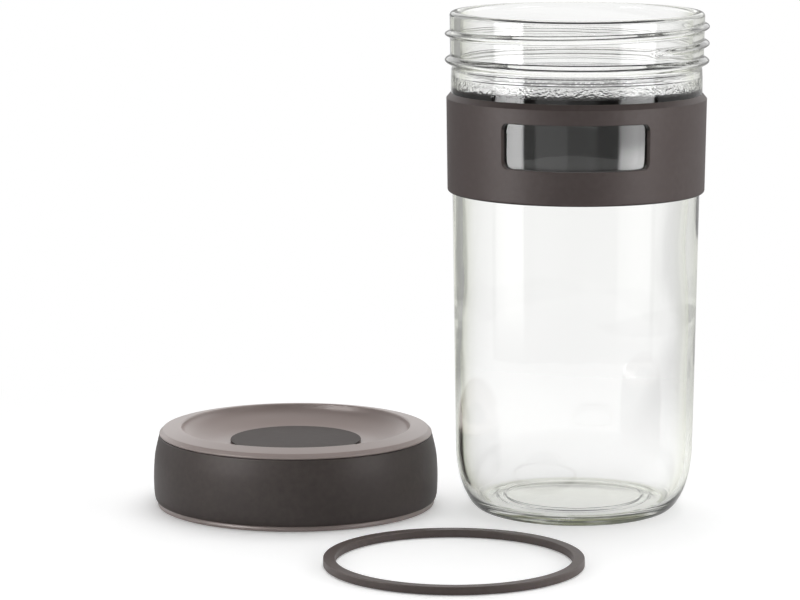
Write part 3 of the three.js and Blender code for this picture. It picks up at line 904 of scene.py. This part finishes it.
# %% Make the vent cap
cap_radius, cap_low, cap_high = (v / MM for v in span_of("vent_cap"))
cap_under = dish_floor + 0.3
bulb_top, tip_radius, bulb_radius, stem_radius = dish_floor - lid_wall - 1.3, 1.4, 4.2, 2.3
cap_corners = [
    (0, cap_low, 0), (tip_radius, cap_low, 0.4), (bulb_radius, bulb_top - 0.3, 0.3),
    (bulb_radius, bulb_top, 0.2), (stem_radius, bulb_top, 0.2), (stem_radius, cap_under, 0.3),
    (cap_radius - 0.8, cap_under, 0.3),
    (cap_radius, cap_under + 0.3, 0.2), (cap_radius, cap_under + 0.72, 0.35),
    (cap_radius / 2, cap_high - 0.05, 0), (0, cap_high, 0),
]
vent_cap = revolved("vent_cap_skin", rounded(cap_corners, closed=False), lid_place, 192, False)
vent_cap.data.materials.append(cap_silicone)
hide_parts("vent_cap")
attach(vent_cap, "vent")

# %% [markdown]
# ## The sealing ring
#
# The ring is a flat band of soft silicone with small broken edges. A torus that is pressed flat
# would have edges that are too round. Lying loose the ring is never quite a circle, so its radius
# wavers by a few tenths of a millimetre, always inwards, so as to stay in the model's box.

# %% Make the ring


def loose(turn, radius, height):
    """Extra radius of a ring that lies loose: two slow waves round it, never outwards."""
    waver = 0.12 * (np.cos(2 * turn + 0.7) - 1) + 0.06 * (np.cos(3 * turn + 2.1) - 1)
    return waver * MM + 0 * radius


ring_corners = [
    (ring_inner, 0, 0.3), (ring_outer, 0, 0.3), (ring_outer, ring_height, 0.35),
    (ring_inner, ring_height, 0.35),
]
sealing_ring = revolved("sealing_ring_skin", rounded(ring_corners), ring_place, 256, True, loose)
sealing_ring.data.materials.append(ring_silicone)
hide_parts("sealing_ring")
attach(sealing_ring, "seal")

# %% [markdown]
# ## The studio
#
# Glass has no colour of its own, so what stands round it is what it looks like. The floor is white
# paper, and the camera sees it white all the way. Through the glass it is white straight behind the
# jar and falls to grey on both sides, which is what draws the edges of the glass. A photographer
# does this with cards. Here the paper's shader does it, by the bearing from the jar, because cards
# would also show beside the object. Near the object the paper is lit by the lamps and glows only a
# little, so it keeps the shadows.

# %% Bearings round the jar


def bearing(tree, point, facing=1):
    """The bearing of a point from the jar as a share of a turn: 0.5 straight behind it, or straight
    in front of it where facing is -1, less to the left and more to the right. It is the angle whose
    tangent is the place to the right over the place ahead, divided by a turn, plus a half."""
    place = add(tree, "ShaderNodeSeparateXYZ", None, add(tree, VECTOR, MINUS, point, jar_place)).outputs
    ahead = add(tree, MATH, TIMES, place["Y"], facing)
    angle = add(tree, MATH, {"operation": "ARCTAN2"}, place["X"], ahead)
    return add(tree, MATH, TIMES_PLUS, angle, 1 / (2 * math.pi), 0.5)


def turns(degrees):
    """A bearing in degrees to the right, as a share of a turn: a half plus degrees over 360."""
    return 0.5 + degrees / 360


print("90 degrees to the right is", turns(90), "of a turn")

# %% [markdown]
# The paper is one large square that lies a hair below the object, so that no two faces share a
# plane. What the glass shows of it is a row of greys over the bearing. A picture on the paper could
# hold them too, but as a ramp each stop is a bearing in degrees and a brightness that can be read.

# %% Floor
FLOOR_HALF, FLOOR_DROP = 6.0, 0.2 * MM
sides = (-FLOOR_HALF, FLOOR_HALF)
floor_grid = np.array([[(x, y, -FLOOR_DROP) for x in sides] for y in sides])
floor = mesh_object("floor", floor_grid, quads(2, 2))
paper, tree, shader, point, output = material(
    "matt_white_paper", Base_Color=colour("#f9f9f9"), Roughness=0.9, Emission_Color=WHITE,
)
away = add(tree, VECTOR, {"operation": "LENGTH"}, point).outputs["Value"]
far = add(tree, STEP, SOFT, away, 0.16, 0.34)
through_glass = add(tree, RAMP, None, bearing(tree, point), stops=(
    (0.0, 0.6), (turns(-100), 0.85), (turns(-70), 0.42), (turns(-22), 0.42), (turns(-19), 1.0),
    (turns(11), 1.0), (turns(15), 0.82), (turns(70), 0.8), (turns(100), 0.85), (1.0, 0.6),
))

# %% [markdown]
# Light Path tells which ray is asking. The camera sees plain white. A ray that glass has bent counts
# as glossy too, so a mirrored ray is one that is glossy and hasn't crossed glass, and the paper is a
# quarter darker to it. Shadow and diffuse rays get the lamp-lit paper everywhere, so that the paper
# never adds its own light to the object.

# %% What each ray sees of the paper
NEAR_GLOW, NEAR_GLOW_THROUGH_GLASS, MIRROR_LOSS = 0.22, 0.15, 0.25
ray = add(tree, "ShaderNodeLightPath").outputs
mirror_ray = add(tree, MATH, MINUS, ray["Is Glossy Ray"], ray["Is Transmission Ray"])
mirrored = add(tree, MATH, TIMES_PLUS, add(tree, MATH, LARGER, mirror_ray, 0.0), -MIRROR_LOSS, 1.0)
bent = add(tree, MATH, TIMES, through_glass, mirrored)
brightness = add(tree, MATH, LARGER, ray["Is Camera Ray"], bent)
glow = add(
    tree, MATH, LARGER, add(tree, MATH, TIMES, ray["Is Camera Ray"], NEAR_GLOW),
    add(tree, MATH, TIMES, ray["Is Transmission Ray"], NEAR_GLOW_THROUGH_GLASS),
)
tree.links.new(glow.outputs[0], shader.inputs["Emission Strength"])
white = add(tree, "ShaderNodeEmission", Color=WHITE, Strength=brightness)
indirect = add(tree, MATH, LARGER, ray["Is Diffuse Ray"], ray["Is Shadow Ray"])
seen = add(tree, MATH, TIMES, far, add(tree, MATH, MINUS, 1.0, indirect))
blend = add(tree, "ShaderNodeMixShader", None, seen, shader, white)
tree.links.new(blend.outputs[0], output.inputs["Surface"])
floor.data.materials.append(paper)
print("paper: nodes", len(tree.nodes))

# %% [markdown]
# Two upright soft boxes stand close to the jar, one on each side of the camera. The main light is
# one large soft box overhead and a little behind, as is usual for glass, so the tops are light and
# the fronts are lit mostly by the paper. A fourth box brightens the right sides. Area lights are
# used because their size alone makes the shadows soft. The screen below shows the glass what the
# boxes look like, so the boxes themselves don't show in it.

# %% Lights


def soft_box(name, place, aim, width, height, radiance):
    """An area light at a place that faces another. Its power is its radiance times pi times its
    area."""
    data = bpy.data.lights.new(name, "AREA")
    data.shape = "RECTANGLE"
    data.size, data.size_y = width, height
    data.energy = radiance * math.pi * width * height
    made = bpy.data.objects.new(name, data)
    made.location = place
    made.rotation_euler = (Vector(aim) - Vector(place)).to_track_quat("-Z", "Y").to_euler()
    made.visible_camera = made.visible_transmission = False
    bpy.context.collection.objects.link(made)
    print(f"{name}: {data.energy:.2f} W")
    return made


def beside(degrees, distance, height):
    """A place beside the jar. Its bearing is counted in degrees from the front to the right, and
    the distance is multiplied by the bearing's sine and cosine."""
    angle = math.radians(degrees)
    offset = Vector((math.sin(angle) * distance, -math.cos(angle) * distance, height))
    return Vector(jar_place) + offset


BOX_WIDTH, BOX_HEIGHT, BOX_DISTANCE = 0.2, 0.3, 0.5
box_aim = beside(0, 0, BOX_HEIGHT / 2)
for name, side, radiance in (("left_box", -57, 2.3), ("right_box", 50, 4.0)):
    box_place = beside(side, BOX_DISTANCE, BOX_HEIGHT / 2)
    box = soft_box(name, box_place, box_aim, BOX_WIDTH, BOX_HEIGHT, radiance)
    box.visible_glossy = False
overhead = soft_box("overhead", (0.12, 0.3, 1.2), (0, 0, 0), 0.9, 1.1, 2.75)
overhead.visible_glossy = False
soft_box("side", (1.3, 0.45, 0.55), (0, 0, 0.05), 0.8, 0.8, 1.3)

# %% [markdown]
# A low curved screen stands round the front. Only glossy surfaces see it, and it holds the faces of
# the two boxes and the grey cards between them. They draw the two long highlights down the glass
# and the soft upright stripes in the marker window, where the band behind makes the glass a mirror.
# The boxes are brightest at the top, so the highlights fade down the wall, and the right-hand one
# has a brighter patch where the lower half of the window mirrors it. One painted screen is easier to
# aim than a row of lights and cards, since a bearing on it is a bearing in the reflection.

# %% Screen
SCREEN_DISTANCE, SCREEN_HEIGHT, SCREEN_STRENGTH = 0.35, 0.28, 9.5
screen_turn = np.radians(np.linspace(-82, 72, 120))
screen_foot = np.stack([np.sin(screen_turn), -np.cos(screen_turn), 0 * screen_turn], axis=1)
screen_foot = screen_foot * SCREEN_DISTANCE
screen_grid = np.stack([screen_foot + (0, 0, z) for z in (0.0, SCREEN_HEIGHT)]) + jar_place
screen = mesh_object("screen", screen_grid[:, ::-1], quads(2, len(screen_turn)))

# %% [markdown]
# What the screen shows is the product of two simple patterns: how bright it is by height, and a row
# of stripes by bearing. Each stop of the stripes is a bearing in degrees and a brightness: first the
# left box, then a grey card as wide as the window's middle, then the right box.

# %% Paint the screen
cloth, tree, _, point, output = material("diffuser_cloth", Roughness=0.8)
up = add(tree, "ShaderNodeSeparateXYZ", None, point).outputs["Z"]
turned = bearing(tree, point, facing=-1)
upper = add(tree, STEP, SOFT, up, 75 * MM, 95 * MM, 0.25, 1.0)
fading = add(tree, MATH, TIMES, upper, add(tree, STEP, SOFT, up, 0, 35 * MM))
window_height = add(
    tree, MATH, TIMES, add(tree, STEP, SOFT, up, 80 * MM, 88 * MM),
    add(tree, STEP, SOFT, up, 94 * MM, 103 * MM, 1.0, 0.0),
)
on_right = add(tree, STEP, SOFT, turned, turns(24), turns(34))
patch = add(tree, MATH, TIMES, on_right, window_height)
level = add(tree, MATH, TIMES, fading, add(tree, MATH, TIMES_PLUS, patch, 0.9, 1.0))
stripes = add(tree, RAMP, None, turned, stops=(
    (turns(-79), 0.0), (turns(-76), 0.6), (turns(-62), 1.0), (turns(-50), 1.0), (turns(-48), 0.0),
    (turns(-39), 0.0), (turns(-37), 0.085), (turns(-11), 0.085), (turns(-9), 0.035),
    (turns(13), 0.04), (turns(17), 0.0), (turns(33), 0.0), (turns(36), 0.4), (turns(50), 0.62),
    (turns(66), 0.62), (turns(69), 0.0),
))
strength = add(tree, MATH, TIMES, level, SCREEN_STRENGTH)
shining = add(tree, "ShaderNodeEmission", Color=stripes, Strength=strength)
tree.links.new(shining.outputs[0], output.inputs["Surface"])
screen.data.materials.append(cloth)
for kind in ("camera", "diffuse", "shadow", "transmission"):
    setattr(screen, "visible_" + kind, False)
print("screen: nodes", len(tree.nodes))

# %% [markdown]
# The world is the room. A white backdrop hangs behind the object and curves over it, and the room
# in front is darker. Glass shows the backdrop wherever it bends the view upwards. What the glass
# passes on is plain white and stays so higher up, so that it doesn't clip. Between the table and the
# backdrop lies a darker gap, which the flat top of the rim mirrors as a fine line. A picture of a
# real room could do this too, but a few greys by height and side are all that this glass shows.

# %% World
BACKDROP_STRENGTH, SEEN_LIMIT, SEEN_LIFT = 1.5, 1.05, 0.7
world = bpy.data.worlds.new("studio")
world.use_nodes = True
bpy.context.scene.world = world
room = world.node_tree
room.nodes.clear()
direction = add(room, "ShaderNodeTexCoord").outputs["Generated"]
split = add(room, "ShaderNodeSeparateXYZ", None, direction).outputs
behind = add(room, STEP, SOFT, split["Y"], -0.2, 0.4)
front = add(room, STEP, SOFT, split["Z"], 0.05, 0.3, 0.17, 0.05)
back = add(room, RAMP, None, add(room, MATH, TIMES_PLUS, split["Z"], 0.5, 0.5), stops=(
    (0.5, 0.35), (0.542, 0.25), (0.552, 1.0), (0.66, 1.0), (0.74, 0.65), (0.85, 0.22),
))
lit = add(room, MATH, TIMES, back, BACKDROP_STRENGTH)
lifted = add(room, MATH, PLUS, lit, add(room, STEP, SOFT, split["Z"], 0.3, 0.6, 0.0, SEEN_LIFT))
plain = add(room, MATH, SMALLER, lifted, SEEN_LIMIT)
through = add(room, "ShaderNodeLightPath").outputs["Is Transmission Ray"]
drop = add(room, MATH, TIMES_PLUS, through, add(room, MATH, MINUS, plain, lit), lit)
all_round = add(room, MATH, TIMES_PLUS, behind, add(room, MATH, MINUS, drop, front), front)
backdrop = add(room, "ShaderNodeBackground", Color=WHITE, Strength=all_round)
add(room, "ShaderNodeOutputWorld", Surface=backdrop)
bpy.context.scene.view_settings.view_transform = "Standard"
print("world: nodes", len(room.nodes))
